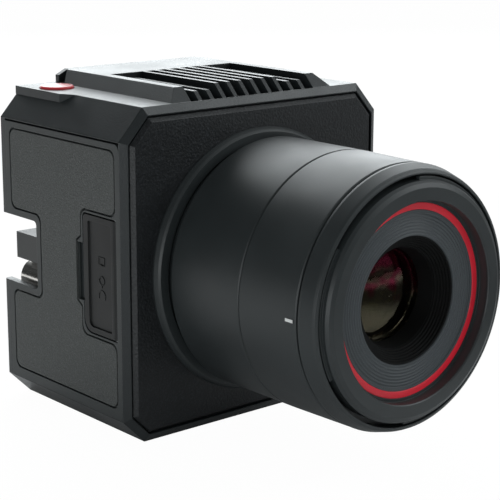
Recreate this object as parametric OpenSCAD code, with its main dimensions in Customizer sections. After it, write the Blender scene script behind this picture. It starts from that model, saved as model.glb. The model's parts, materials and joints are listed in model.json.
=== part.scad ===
// Live streaming camera with a large fixed lens.
// X runs across the body, Y from the lens (-Y) to the rear, Z up from the base.
// The lens axis is parallel to Y. Inside placed(), y = 0 is the face of the front cover.

/* [Body] */
// Width of the body across its side panels
body_w = 86; // [76:1:100]
// Height of the body from its base to the shelves beside the hump
body_h = 85.2; // [76:0.2:100]
// Depth of the body from the face of the front cover to the rear edge
body_d = 55.6; // [50:0.2:66]
// Width of the sloped upper corners
top_cut_w = 7.1; // [6:0.1:8]
// Height of the sloped upper corners
top_cut_h = 7.8; // [7:0.1:9]
// Size of the 45 degree lower corners
bottom_cut = 6.5; // [5:0.1:7]
// Wall of the housing
wall = 2.2; // [1.8:0.1:2.6]
// Width of the bevel round the front rim, seen from the front
rim_w = 1.9; // [1.4:0.1:2]
// Depth of the bevel round the front rim
rim_depth = 1.1; // [0.8:0.1:1.2]
// Bevel round the rear edge
rear_bevel = 0.6; // [0.4:0.1:1]
// Width of the band behind the side panels
rear_band = 2; // [1.2:0.1:2.4]

/* [Hump and vent] */
// Height of the hump above the shelves
hump_h = 3.4; // [2.6:0.1:5]
// Width of each shelf beside the hump, out to the side of the body
shelf_w = 16.3; // [15.8:0.1:17]
// Width of the slopes at both sides of the hump
hump_side = 3.4; // [2.6:0.1:4]
// Length of the slope at the front of the hump
hump_slope = 3.3; // [2.8:0.1:4]
// Distance from the edge of the deck to the vent
vent_side = 2.8; // [2:0.1:4]
// Number of fins in the vent
fin_count = 10; // [8:2:12]
// Number of low fins at each side of the vent
low_fins = 2; // [0:1:3]
// Thickness of a fin
fin_t = 1.25; // [1:0.05:1.5]
// How far the low fins lie under the deck
low_drop = 1.3; // [0.8:0.1:2]
// Width of the fan under the vent
fan_w = 30; // [25:1:34]

/* [Front cover and panels] */
// Distance of the front cover's edge from the outline of the body
cover_inset = 2.6; // [2.6:0.1:3.2]
// Thickness of the front cover
cover_t = 2; // [1.8:0.1:2.4]
// Bevel round the front cover
cover_bevel = 1; // [0.6:0.1:1.2]
// Open joint round the front cover and over the side panels
seam = 0.5; // [0.3:0.05:0.6]
// Thickness of the side panels
panel_t = 1.2; // [1:0.05:1.3]
// Thickness of the grained insets in the side panels
inset_t = 0.7; // [0.5:0.05:0.8]
// Width of the groove round the insets
groove_w = 0.45; // [0.3:0.05:0.6]
// Radius of the corners of the insets
inset_r = 2.2; // [1:0.1:2.6]

/* [Side port and rear bay] */
// Width of the port cover
flap_w = 13.7; // [12.8:0.1:14.6]
// Radius of the port cover's lower rear corner
flap_r = 3.2; // [1.5:0.1:4]
// Height of the notch through the right side wall
notch_h = 18.4; // [16:0.1:20]
// Depth of the rear connector bay
bay_depth = 16.4; // [15:0.1:17.6]
// Height of the wall above the rear bay, which holds the power button
bay_head = 25.2; // [23:0.1:30]
// Height of the touch screen
screen_h = 54; // [44:0.5:56]

/* [Lens] */
// Height of the lens axis over the middle of the body
lens_rise = -0.2; // [-1:0.1:1]
// Length of the lens in front of the front cover
lens_len = 57.4; // [50:0.1:66]
// Radius of the filter thread
filter_r = 24.4; // [22:0.1:26]
// Depth of the filter thread
filter_depth = 2.7; // [2.2:0.1:2.7]
// Wall of the filter ring
bezel_wall = 4.7; // [4:0.1:5]
// Distance from the front cover to the joint behind the focus ring
focus_start = 30.4; // [27:0.1:33]
// Length of the lens ahead of the focus ring
nose_len = 7.3; // [7:0.1:8]
// Height of the collar round the foot of the lens
collar_h = 2.1; // [1.6:0.1:2.6]
// Width of the red ring
red_w = 1.7; // [1.2:0.1:2]
// Travel of the focus lens to each side of its middle place
focus_travel = 1.5; // [1:0.1:1.8]

/* [Buttons] */
// Radius of the record button
record_r = 4.55; // [4:0.05:4.7]
// Height of the record button above the shelf
record_proud = 0.65; // [0.5:0.05:1]
// Travel of the record button
record_travel = 0.6; // [0.4:0.05:0.65]
// Radius of the power button
power_r = 4; // [3.5:0.1:4.5]
// Travel of the power button
power_travel = 0.4; // [0.3:0.05:0.45]

/* [Tripod socket] */
// Radius of the tripod thread at its crests, for a 1/4 inch screw
tripod_r = 2.55; // [2.5:0.01:2.6]
// Depth of the tripod thread
tripod_depth = 7; // [6:0.1:8]
// Radius of the hole for an anti-twist pin
twist_r = 2.1; // [1.5:0.1:2.3]

/* [Hidden] */
$fn = 96;
turned_fn = 128;

// One overrun for every cut, and the least gap between pieces that don't touch
cut = 0.5;
fit_gap = 0.1;
running_gap = 0.06;
edge_gap = 0.5;
corner_steps = 5;

// The origin lies under the middle of the whole length
front_y = (lens_len - body_d) / 2;
half_w = body_w / 2;
inner_x = half_w - wall;
inner_top = body_h - wall;
deck_z = body_h + hump_h;
lens_z = body_h / 2 + lens_rise;
side_low = bottom_cut;
side_high = body_h - top_cut_h;

// Front wall: the cover lies in a recess of the rim
rim_face = 0.65;
rim_back = rim_face + rim_depth;
front_wall_t = 2;
wall_back = cover_t + front_wall_t;
rear_side_y = body_d - rear_bevel;

// Hump: its foot starts just behind the front rim
hump_setback = 0.5;
hump_foot_w = body_w - 2 * shelf_w;
hump_top_w = hump_foot_w - 2 * hump_side;
hump_foot_y = rim_back + hump_setback;
hump_top_y = hump_foot_y + hump_slope;
hump_cut = 4.4;
hump_frame_t = 1.6;
hump_frame_in = 1.3;
hump_frame_w = 3;
hump_frame_h = 1.5;
hump_frame_y = rear_side_y - hump_frame_t;
vent_lip = 0.4;
vent_w = hump_top_w - 2 * vent_side;
vent_front = hump_top_y + vent_lip;
vent_rear = vent_front + fan_w + vent_lip;
vent_sill = 1.2;
vent_sill_z = body_h - vent_sill;
fin_pitch = (vent_w + fin_t) / (fin_count + 1);
fin_setback = 0.3;
low_top_y = hump_foot_y + fin_setback + (1 - low_drop / hump_h) * hump_slope;

// Side panels: set into shallow pockets of the housing
panel_margin = 0.2;
panel_front = rim_back + panel_margin;
panel_rear = rear_side_y - rear_band;
panel_corner = 1.8;
panel_edge_r = 0.2;
panel_low = side_low + panel_margin;
pocket_high = side_high - panel_margin;
panel_high = pocket_high - seam;

// Outline of the grained inset
inset_side = 1.9;
inset_end = 1.9;
inset_head = 2.2;
inset_foot = 2.8;
inset_front = rim_back + inset_side;
inset_rear = panel_rear - inset_end;
inset_top = side_high - inset_head;
inset_low = side_low + inset_foot;
zone_margin = 0.9;
notch_margin = 1.8;

// Ports behind the cover: a video socket over two small jacks
video_h = 14.2;
video_w = 4.8;
shell_t = 0.4;
tongue_t = 0.8;
jack_r = 1.78;
jack_w = 6.2;
jack_h = 5.3;
jack_collar_r = 2.4;
port_gap = 0.8;
port_margin = 0.6;
port_open_h = video_h + 2 * jack_h + 2 * port_gap + 2 * port_margin;
port_high = lens_z + port_open_h / 2;
port_low = lens_z - port_open_h / 2;
video_z = port_high - port_margin - video_h / 2;
mic_z = video_z - video_h / 2 - port_gap - jack_h / 2;
phone_z = mic_z - jack_h - port_gap;

// Port cover on the right side, centred on the lens axis
flap_setback = 0.15;
flap_lap = 1.35;
flap_lap_w = 1.55;
flap_front = inset_front + flap_setback;
flap_rear = flap_front + flap_w;
flap_low = port_low - flap_lap;
flap_high = port_high + flap_lap;
flap_t = panel_t - fit_gap;
flap_gap = 0.35;
flap_small_r = 1.2;
hinge_corner = 0.2;
hinge_r = 0.95;
hinge_sink = 0.02;
hinge_clear = 0.3;
hinge_x = half_w - hinge_r - hinge_sink;
hinge_y = flap_front + hinge_r;
hinge_pin_r = 0.5;
hinge_pocket_r = hinge_r + hinge_clear;
pin_seat = 0.8;
flap_rim = 1.9;
flap_rim_end = 1.5;
flap_dish = 0.4;
nail_h = 15;
nail_slope = 1.4;
nail_reach = 2.1;
nail_corner = 0.5;
port_shift = 0.45;
port_y = (flap_front + flap_rear) / 2 + port_shift;
port_open_w = flap_w - 2 * flap_lap_w;
port_sink = 0.45;
port_len = 12;
plug_depth = 9;
port_tail = 1;
port_face_x = half_w - panel_t - port_sink;
port_board_t = 1.6;
port_board_x = port_face_x - port_len;
port_board_margin = 1.2;

// Sockets in the rear bay, which give the bay its width
power_sock_w = 9.2;
power_sock_h = 7.1;
power_sock_rise = 0.4;
power_sock_sink = 2.8;
dc_r = 2.8;
dc_pin_r = 1;
dc_depth = 10;
coax_r = 4.8;
coax_flange_r = 5.5;
coax_flange_t = 1.6;
coax_sink = 3.2;
coax_bore_r = 3.9;
coax_bore_depth = 9;
coax_pin_r = 0.7;
coax_core_r = 2.1;
coax_core_len = 4.5;
coax_body_r = 4;
net_w = 13.2;
net_h = 16;
net_len = 7.6;
net_open_w = 7;
net_open_h = 11.9;
net_latch_w = 2.4;
net_latch_h = 6.2;
net_depth = 13;
net_foot = 1.3;
net_side = 0.6;
usb_w = 9;
usb_h = 3.3;
usb_depth = 7;
usb_tongue_t = 0.7;
usb_side = 9;
usb_rise = 6.5;

// Rear bay and notch
notch_front = body_d - bay_depth;
notch_low = lens_z - notch_h / 2;
notch_high = lens_z + notch_h / 2;
notch_r = 1.2;
bay_floor = body_d - bay_depth;
bay_floor_t = 1.6;
bay_wall = 1.5;
bay_foot = 6;
sock_gap = 0.8;
bay_w = fit_gap + 2 * coax_flange_r + sock_gap + net_w + net_side;
bay_out_x = inner_x - fit_gap;
bay_in_x = bay_out_x - bay_w;
bay_low = bottom_cut + bay_foot;
bay_high = body_h - bay_head;
rear_sink = 0.5;
rear_face = body_d - rear_sink;
rear_t = 2.4;
rear_inner = rear_face - rear_t;
power_sock_x = bay_out_x - fit_gap - power_sock_w / 2;
power_sock_z = lens_z + power_sock_rise;
power_sock_rear = body_d - power_sock_sink;
coax_x = bay_out_x - fit_gap - coax_flange_r;
coax_z = power_sock_z - power_sock_h / 2 - 2 * fit_gap - coax_flange_r;
coax_rear = body_d - coax_sink;
net_x = bay_in_x + net_side + net_w / 2;
net_z = bay_low + net_foot + net_h / 2;
net_rear = bay_floor + net_len;
usb_x = bay_in_x + usb_side;
usb_z = lens_z + usb_rise;
usb_face = bay_floor + tongue_t;

// Boards: the main board stands in front of the bay, the sensor board in front of it
board_t = 1.6;
board_room = 6;
board_side = 2.8;
board_y = bay_floor - bay_floor_t - board_room - board_t;
board_rear = board_y + board_t;
board_half_w = inner_x - board_side;
board_post_r = 1.5;
board_post_low = 16;
board_post_high = 48;
board_post_side = 3;
bay_post_drop = 3.5;
bay_post_rise = 1.5;
sensor_board_t = 1.4;
sensor_board_h = 28;
sensor_room = 11.6;
sensor_side = 6.35;
sensor_y = board_y - sensor_room - sensor_board_t;
sensor_half_w = port_board_x - sensor_side;
sensor_w = 26;
sensor_h = 20;
sensor_t = 2.4;
sensor_glass_w = 20;
sensor_glass_h = 15;
sensor_glass_t = 0.5;
flex_w = 12;
flex_t = 0.3;
flex_drop = 10;
chip_w = 18;
chip_t = 1.8;
chip_rise = 3.6;
chip_z = lens_z + chip_rise;

// Buttons and switches
button_gap = 0.12;
flange_lip = 0.8;
flange_t = 0.9;
stem_r = 1.6;
plunger_r = 1.6;
plunger_h = 0.8;
switch_w = 6;
switch_t = 2.2;
switch_board_l = 9;
switch_board_t = 1.2;
post_r = 1.5;
record_side = 11;
record_rear = 11.1;
record_x = half_w - record_side;
record_y = body_d - record_rear;
record_stem = 0.4;
guide_wall = 1.4;
guide_len = 3;
guide_low = inner_top - guide_len;
record_flange_z = guide_low - fit_gap - flange_t;
switch_seat = record_flange_z - record_stem - record_travel - fit_gap - plunger_h - switch_t;
switch_post_x = switch_board_l / 2 - post_r;
switch_post_y = record_y - record_r - guide_wall - post_r;
boss_side = 4.9;
boss_len = 21.4;
boss_blend = 4.2;
boss_out_x = half_w - boss_side;
boss_front = body_d - boss_len;
power_inset = 11;
power_rise = 9;
power_stem = 1.4;
power_x = bay_in_x + power_inset;
power_z = bay_high + power_rise;
power_flange_y = rear_inner - fit_gap - flange_t;
power_plunger_y = power_flange_y - power_stem - power_travel - fit_gap;
power_seat = power_plunger_y - plunger_h - switch_t;

// Vent stack under the hump
fan_t = 8;
fan_drop = 3;
fan_top = inner_top - fan_drop;
fan_low = fan_top - fan_t;
fan_y = (vent_front + vent_rear) / 2;
fan_wall = 1.2;
fan_r = fan_w / 2 - fan_wall;
fan_blade_r = fan_r - 6 * fit_gap;
fan_hub_r = 5.8;
fan_boss_r = 4.6;
fan_pin_r = 1.2;
fan_floor_t = 1.2;
fan_arm_w = 2.2;
fan_corner = 3;
blade_count = 7;
blade_t = 0.9;
blade_tilt = 38;
grille_bar_h = 2;
grille_bar_w = 2.2;
sink_lap = 5;
sink_w = fan_w + 2 * sink_lap;
sink_end = 1;
sink_front = fan_y - fan_w / 2 + sink_end;
sink_rear = fan_y + fan_w / 2 - sink_end;
sink_clear = 1.6;
sink_low = lens_z + sensor_board_h / 2 + sink_clear;
sink_base_t = 2.4;
sink_top = sink_low + sink_base_t;
sink_fins = 9;
sink_fin_t = 1;
sink_leg_w = 24;
sink_leg_t = 2.4;

// Base
plate_w = 40;
plate_l = 28;
plate_t = 1.4;
plate_r = 3;
plate_y = (wall_back + rear_inner) / 2;
bush_r = 5;
bush_flange_r = 7.4;
bush_flange_t = 1.5;
board_low = tripod_depth + bush_flange_t + edge_gap;
board_high = sink_low - edge_gap;
twist_y = plate_y - plate_l / 2 + 2 * twist_r;
screw_r = 1;
screw_head_r = 1.9;
screw_head_t = 0.9;
screw_len = 5;
screw_post_r = 2.5;
plate_screw_in = 4;
plate_screw_x = plate_w / 2 - plate_screw_in;
plate_screw_y = plate_l / 2 - plate_screw_in;
cover_screw_side = 7.2;
cover_screw_x = half_w - cover_screw_side;
cover_screw_foot = 1.1;
cover_screw_low = bottom_cut + cover_screw_foot;
cover_screw_high = switch_seat - switch_board_t - screw_post_r - edge_gap;
cover_post_len = 10;
hex_r = 0.75;
hex_depth = 0.5;

// Touch screen between the bay and the screws of the rear cover
screen_gap = 0.65;
screen_side = 9.65;
screen_t = 1.2;
screen_r = 2.5;
screen_x0 = bay_wall + screen_gap - bay_in_x;
screen_x1 = inner_x - screen_side;
screen_z = (cover_screw_low + cover_screw_high) / 2;
display_rim = 2.5;
display_t = 2.6;

// Lens: radii worked outwards and inwards from the filter thread
bezel_r = filter_r + bezel_wall;
front_ring_wall = 3.7;
barrel_r = bezel_r + front_ring_wall;
neck_step = 2.4;
neck_r = barrel_r - neck_step;
neck_len = 3.5;
flare_len = 1.7;
barrel_edge = 0.3;
tube_t = 2;
sleeve_seat = 2.2;
tube_r = barrel_r - sleeve_seat;
tube_in_r = tube_r - tube_t;
collar_step = 1.4;
collar_r = barrel_r + collar_step;
web_t = 4;
joint_gap = 0.2;
focus_end = lens_len - nose_len;
front_base = focus_end + joint_gap;
front_web_t = 1.8;
groove_gap = 1.3;
front_in_r = bezel_r + groove_gap;
front_drop = 1.9;
front_edge = lens_len - front_drop;
thread_lead = 0.3;
thread_back = lens_len - thread_lead - filter_depth;
lug_step = 0.8;
lug_h = 1.1;
lug_count = 3;
lug_angle = 62;
lug_turn = 146;
red_gap = 0.8;
red_drop = 3.1;
red_out_r = filter_r - red_gap;
red_in_r = red_out_r - red_w;
red_face = lens_len - red_drop;
baffle_r = red_in_r - running_gap;
baffle_drop = 0.1;
baffle_face = red_face - baffle_drop;
baffle_lip_w = 0.6;
baffle_lip_h = 0.3;
baffle_groove_depth = 0.18;
baffle_grooves = 7;
baffle_w = 6;
ridge_r = red_in_r - baffle_w;
ridge_face = baffle_face - baffle_lip_h;
ridge_count = 7;
ridge_depth = 3.6;
sleeve_taper = 0.8;
sleeve_r = ridge_r - ridge_depth - sleeve_taper;
ridge_step = ridge_depth / ridge_count;
glass_gap = 0.05;
glass_r = sleeve_r - glass_gap;
sleeve_t = 2.5;
sleeve_out_r = sleeve_r + sleeve_t;
sleeve_room = 6.6;
sleeve_base = front_base - sleeve_room;

// Optics: distances are forward from the front cover
optics_wall = 1.9;
optics_in_r = sleeve_out_r - optics_wall;
cell_r = optics_in_r - glass_gap;
element_steps = 8;
front_seat = 0.5;
front_glass_t = 1.8;
glass_clear = 0.3;
front_glass_in = 0.8;
front_glass_out = 1.9;
stop_room = 9.1;
stop_at = sleeve_base - stop_room;
stop_r = 6.5;
stop_t = 0.6;
second_seat = 2;
second_t = 3.8;
second_in = 0.9;
second_out = 1.8;
rear_seat = 3;
rear_glass_t = 3.5;
rear_glass_in = 0.9;
rear_glass_out = 1.4;
focus_mid = (web_t + rear_seat + rear_glass_t + rear_glass_out + stop_at) / 2;
cell_len = 7;
cell_wall = 2.25;
focus_glass_t = 2.8;
focus_glass_out = 0.9;
arm_w = 2.4;
arm_l = 3;
slot_gap = 0.4;
slot_l = arm_l + 2 * focus_travel + 2 * edge_gap;
motor_r = 4;
motor_len = 10;
motor_at = (sleeve_out_r + tube_in_r) / 2;
lead_r = 1.1;
lead_end = focus_mid + focus_travel + arm_l;
nut_r = 2.3;

// Lens mount behind the front wall
mount_r = neck_r - 4 * fit_gap;
mount_bore_r = 20;
mount_flange_w = 2;
mount_flange_r = mount_r + mount_flange_w;
mount_flange_t = 1.6;
mount_back = wall_back + mount_flange_t;
mount_ear_out = 4;
mount_ear_w = 3;
mount_screw_at = mount_r + mount_ear_out;
mount_screw_grip = 1.4;
mount_post_r = 1.7;
mount_post_in = 3;
mount_post_up = 12.5;

// Intake slots of the left side
slot_rows = 9;
slot_t = 1.8;
slot_pitch = 4;
slot_start = 12;
slot_stop = 16;
slot_end_r = slot_t * 12 / 25;
slot_low = lens_z - ((slot_rows - 1) * slot_pitch + slot_t) / 2;

// Helpers
module placed() {
  translate([0, front_y, 0]) children();
}

// Outlines in X and Z pushed along Y, in Y and Z along X, and in X and Y along Z
module slab_y(y0, y1) {
  translate([0, y1, 0]) rotate([90, 0, 0]) linear_extrude(y1 - y0) children();
}

module slab_x(x0, x1) {
  translate([x0, 0, 0]) rotate([90, 0, 90]) linear_extrude(x1 - x0) children();
}

module slab_z(z0, z1) {
  translate([0, 0, z0]) linear_extrude(z1 - z0) children();
}

module block(x0, x1, y0, y1, z0, z1) {
  translate([x0, y0, z0]) cube([x1 - x0, y1 - y0, z1 - z0]);
}

module rod_y(r, x, z, y0, y1) {
  translate([x, y1, z]) rotate([90, 0, 0]) cylinder(r = r, h = y1 - y0);
}

module rod_x(r, y, z, x0, x1) {
  translate([x0, y, z]) rotate([0, 90, 0]) cylinder(r = r, h = x1 - x0);
}

module rod_z(r, x, y, z0, z1) {
  translate([x, y, z0]) cylinder(r = r, h = z1 - z0);
}

// A profile of radius and forward distance turned about the lens axis
module turned(profile) {
  translate([0, 0, lens_z]) rotate([90, 0, 0]) rotate_extrude($fn = turned_fn) polygon(profile);
}

function rectangle(x0, x1, y0, y1) = [[x0, y0], [x1, y0], [x1, y1], [x0, y1]];

// Round the corners of an outline: r is one radius, or one for each corner
function corner(a, b, c, r) =
  let (
    u = (a - b) / norm(a - b),
    v = (c - b) / norm(c - b),
    half = acos(u * v) / 2,
    centre = b + (u + v) / norm(u + v) * r / sin(half),
    p = b + u * r / tan(half) - centre,
    q = b + v * r / tan(half) - centre,
    start = atan2(p[1], p[0]),
    turn = atan2(q[1], q[0]) - start,
    sweep = turn > 180 ? turn - 360 : turn < -180 ? turn + 360 : turn
  )
  [for (i = [0 : corner_steps])
    centre + r * [cos(start + sweep * i / corner_steps), sin(start + sweep * i / corner_steps)]];

function rounded(points, r) =
  let (n = len(points))
  [for (i = [0 : n - 1])
    each corner(points[(i + n - 1) % n], points[i], points[(i + 1) % n], is_num(r) ? r : r[i])];

// Front outline of the body, moved inwards by d
function octagon(d) =
  let (
    lt = norm([top_cut_w, top_cut_h]),
    lb = norm([bottom_cut, bottom_cut]),
    top_z = side_high - d * (lt - top_cut_h) / top_cut_w,
    top_x = half_w - top_cut_w - d * (lt - top_cut_w) / top_cut_h,
    low_z = bottom_cut + d * (lb - bottom_cut) / bottom_cut,
    low_x = half_w - bottom_cut - d * (lb - bottom_cut) / bottom_cut
  )
  [[-low_x, d], [low_x, d], [half_w - d, low_z], [half_w - d, top_z],
   [top_x, body_h - d], [-top_x, body_h - d], [d - half_w, top_z], [d - half_w, low_z]];

// A solid through octagons: rings holds pairs of y and inset
module octagon_loft(rings) {
  n = 8;
  last = len(rings) - 1;
  polyhedron(
    points = [for (ring = rings) for (p = octagon(ring[1])) [p[0], ring[0], p[1]]],
    faces = concat(
      [[for (i = [n - 1 : -1 : 0]) i]],
      [[for (i = [0 : n - 1]) last * n + i]],
      [for (k = [0 : last - 1]) for (i = [0 : n - 1])
        [k * n + i, k * n + (i + 1) % n, (k + 1) * n + (i + 1) % n, (k + 1) * n + i]]));
}

// Hump on top of the body: sloped sides, a sloped front, cut rear corners
// and a frame behind them with bevelled upper corners
module hump_solid() {
  foot = body_h - wall / 2;
  frame_out = hump_foot_w / 2 - hump_frame_in;
  frame_in = frame_out - hump_frame_w;
  slab_y(hump_frame_y, rear_side_y)
    polygon([[-frame_out, foot], [frame_out, foot], [frame_out, deck_z - hump_frame_h],
             [frame_in, deck_z], [-frame_in, deck_z], [-frame_out, deck_z - hump_frame_h]]);
  intersection() {
    slab_y(hump_foot_y, hump_frame_y + cut)
      polygon([[-hump_foot_w / 2, foot], [hump_foot_w / 2, foot], [hump_foot_w / 2, body_h],
               [hump_top_w / 2, deck_z], [-hump_top_w / 2, deck_z], [-hump_foot_w / 2, body_h]]);
    slab_x(-half_w, half_w)
      polygon([[hump_foot_y, foot], [body_d, foot], [body_d, deck_z], [hump_top_y, deck_z],
               [hump_foot_y, body_h]]);
    slab_z(foot, deck_z)
      polygon([[-hump_foot_w / 2, 0], [hump_foot_w / 2, 0],
               [hump_foot_w / 2, hump_frame_y - hump_cut],
               [hump_foot_w / 2 - hump_cut, hump_frame_y],
               [hump_foot_w / 2 - hump_cut, rear_side_y],
               [hump_cut - hump_foot_w / 2, rear_side_y],
               [hump_cut - hump_foot_w / 2, hump_frame_y],
               [-hump_foot_w / 2, hump_frame_y - hump_cut]]);
  }
}

// Widened end of the right shelf that carries the record button
module button_boss() {
  slab_z(inner_top, body_h)
    polygon([[-boss_out_x, rear_side_y], [-boss_out_x, boss_front],
             [top_cut_w - half_w, boss_front - boss_blend],
             [-hump_foot_w / 2, boss_front - boss_blend], [-hump_foot_w / 2, rear_side_y]]);
}

module notch_cut(x0, x1) {
  slab_x(x0, x1)
    polygon(rounded(rectangle(notch_front, body_d + 4 * notch_r, notch_low, notch_high), notch_r));
}

module intake_slots(x0, x1) {
  for (i = [0 : slot_rows - 1])
    slab_x(x0, x1)
      polygon(rounded(rectangle(slot_start, body_d - slot_stop, slot_low + i * slot_pitch,
                                slot_low + i * slot_pitch + slot_t), slot_end_r));
}

// Places of the repeated screws
module at_plate_screws() {
  for (x = [-plate_screw_x, plate_screw_x]) for (y = [-plate_screw_y, plate_screw_y])
    translate([x, plate_y + y, 0]) children();
}

module at_cover_screws() {
  for (x = [-cover_screw_x, cover_screw_x]) for (z = [cover_screw_low, cover_screw_high])
    translate([x, 0, z]) children();
}

module at_mount_screws() {
  for (a = [45 : 90 : 315])
    translate([mount_screw_at * cos(a), 0, lens_z + mount_screw_at * sin(a)]) children();
}

module hinge_pocket() {
  rod_z(hinge_pocket_r, -hinge_x, hinge_y, flap_low - flap_gap, flap_high + flap_gap);
}

module hinge_pin() {
  rod_z(hinge_pin_r, -hinge_x, hinge_y, flap_low - flap_gap - pin_seat, flap_high + flap_gap + pin_seat);
}

module main_housing() {
  color([0.17, 0.18, 0.185]) placed() difference() {
    union() {
      octagon_loft([[rim_face, rim_w], [rim_back, 0], [rear_side_y, 0], [body_d, rear_bevel]]);
      hump_solid();
      button_boss();
    }
    // Recess of the front cover and the space inside
    octagon_loft([[rim_face - cut, cover_inset - seam], [cover_t, cover_inset - seam]]);
    difference() {
      octagon_loft([[wall_back, wall], [body_d + cut, wall]]);
      housing_posts();
    }
    rod_y(mount_r, 0, lens_z, cover_t - cut, wall_back + cut);
    at_mount_screws() rod_y(screw_r, 0, 0, wall_back - mount_screw_grip, wall_back + cut);
    // Vent: a shallow seat in the slope and the shaft behind it
    block(-vent_w / 2, vent_w / 2, hump_foot_y, vent_rear, vent_sill_z, deck_z + cut);
    block(-vent_w / 2, vent_w / 2, vent_front, vent_rear, inner_top - cut, deck_z + cut);
    // Pockets of the side panels
    for (side = [-1, 1])
      scale([side, 1, 1])
        block(half_w - panel_t, half_w + cut, panel_front, panel_rear, panel_low, pocket_high);
    // Port opening, hinge and notch on the right, intake slots on the left
    block(-half_w, cut - inner_x, port_y - port_open_w / 2, port_y + port_open_w / 2, port_low, port_high);
    hinge_pocket();
    hinge_pin();
    notch_cut(-half_w - cut, cut - inner_x);
    intake_slots(inner_x - cut, half_w);
    rod_z(record_r + button_gap, -record_x, record_y, guide_low - cut, body_h + cut);
    // Base plate pocket, tripod bush, screws
    slab_z(-cut, plate_t)
      polygon(rounded(rectangle(-plate_w / 2 - fit_gap, plate_w / 2 + fit_gap,
                                plate_y - plate_l / 2 - fit_gap, plate_y + plate_l / 2 + fit_gap), plate_r));
    rod_z(bush_r, 0, plate_y, plate_t - cut, wall + cut);
    at_plate_screws() rod_z(screw_r, 0, 0, plate_t - cut, screw_len);
    at_cover_screws() rod_y(screw_r, 0, 0, rear_inner - screw_len, body_d);
  }
}

// Posts inside the housing: screw posts, the guide of the record button and its switch posts
module housing_posts() {
  at_plate_screws() rod_z(screw_post_r, 0, 0, 0, screw_len + wall / 2);
  for (side = [-1, 1]) for (z = [cover_screw_low, cover_screw_high])
    scale([side, 1, 1])
      block(cover_screw_x - screw_post_r, half_w, rear_inner - cover_post_len, rear_inner,
            z - screw_post_r, z + screw_post_r);
  for (x = [-1, 1])
    rod_z(post_r, x * switch_post_x - record_x, switch_post_y, switch_seat, inner_top + cut);
  rod_z(record_r + guide_wall, -record_x, record_y, guide_low, inner_top + cut);
}

module front_cover() {
  color([0.2, 0.205, 0.21]) placed() difference() {
    octagon_loft([[0, cover_inset + cover_bevel], [cover_bevel, cover_inset], [cover_t, cover_inset]]);
    rod_y(mount_r + fit_gap, 0, lens_z, -cut, cover_t + cut);
  }
}

// A screw along Z, with its head's top at z = 0
module screw(length) {
  difference() {
    union() {
      translate([0, 0, -screw_head_t]) cylinder(r = screw_head_r, h = screw_head_t);
      translate([0, 0, -length]) cylinder(r = screw_r, h = length);
    }
    translate([0, 0, -hex_depth]) cylinder(r = hex_r, h = hex_depth + cut, $fn = 6);
  }
}

module rear_cover() {
  color([0.16, 0.165, 0.17]) placed() difference() {
    union() {
      octagon_loft([[rear_inner, wall + fit_gap], [rear_face, wall + fit_gap]]);
      block(-bay_out_x, bay_wall - bay_in_x, bay_floor - bay_floor_t, rear_face,
            bay_low - bay_wall, bay_high + bay_wall);
      for (z = [board_post_low, board_post_high])
        rod_y(board_post_r, board_half_w - board_post_side, z, board_rear, rear_inner);
      for (z = [lens_z - bay_post_drop, lens_z + bay_post_rise])
        rod_y(board_post_r, -bay_in_x - board_post_side, z, board_rear, bay_floor);
    }
    block(-half_w, -bay_in_x, bay_floor, body_d + cut, bay_low, bay_high);
    // Screen pocket and window, power button, screws
    slab_y(rear_face - screen_t, body_d) polygon(screen_outline(fit_gap));
    slab_y(rear_inner - cut, rear_face)
      polygon(rectangle(screen_x0 + display_rim, screen_x1 - display_rim,
                        screen_z - screen_h / 2 + display_rim, screen_z + screen_h / 2 - display_rim));
    rod_y(power_r + button_gap, -power_x, power_z, rear_inner - cut, body_d);
    at_cover_screws() {
      rod_y(screw_r, 0, 0, rear_inner - cut, body_d);
      rod_y(screw_head_r, 0, 0, rear_face - screw_head_t, body_d);
    }
    // Socket openings in the floor of the bay
    bay_cut(power_sock_x, power_sock_z, power_sock_w, power_sock_h);
    bay_cut(net_x, net_z, net_w, net_h);
    bay_cut(usb_x, usb_z, usb_w + 2 * shell_t, usb_h + 2 * shell_t);
    rod_y(coax_body_r, -coax_x, coax_z, bay_floor - bay_floor_t - cut, bay_floor + cut);
  }
}

module bay_cut(x, z, w, h) {
  block(-x - w / 2, w / 2 - x, bay_floor - bay_floor_t - cut, bay_floor + cut, z - h / 2, z + h / 2);
}

function screen_outline(g) =
  rounded(rectangle(screen_x0 - g, screen_x1 + g, screen_z - screen_h / 2 - g, screen_z + screen_h / 2 + g),
          screen_r);

// Outline of the inset in the right side panel: a T with notches for the port cover and the bay.
// g moves every edge inwards.
function right_inset_outline(g) =
  let (
    front = inset_front + g,
    rear = inset_rear - g,
    zone_rear = flap_rear + zone_margin + g,
    zone_high = flap_high + zone_margin + g,
    zone_low = flap_low - zone_margin - g,
    notch_y = notch_front - notch_margin - g,
    top_notch = notch_high + notch_margin + g,
    low_notch = notch_low - notch_margin - g,
    nail_y = zone_rear + nail_reach,
    nail_top = lens_z + nail_h / 2 + g,
    nail_low = lens_z - nail_h / 2 - g,
    r = inset_r,
    s = nail_corner
  )
  rounded([[front, inset_low + g], [rear, inset_low + g], [rear, low_notch], [notch_y, low_notch],
           [notch_y, top_notch], [rear, top_notch], [rear, inset_top - g], [front, inset_top - g],
           [front, zone_high], [zone_rear, zone_high], [zone_rear, nail_top + nail_slope],
           [nail_y, nail_top], [nail_y, nail_low], [zone_rear, nail_low - nail_slope],
           [zone_rear, zone_low], [front, zone_low]],
          [r, r, r, r, r, r, r, r, r, r, s, s, s, s, r, r]);

// Outline of the side panels, with a rounder corner at the front under the seam
function panel_outline() =
  rounded(rectangle(panel_front, panel_rear, panel_low, panel_high),
          [panel_edge_r, panel_edge_r, panel_edge_r, panel_corner]);

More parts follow.
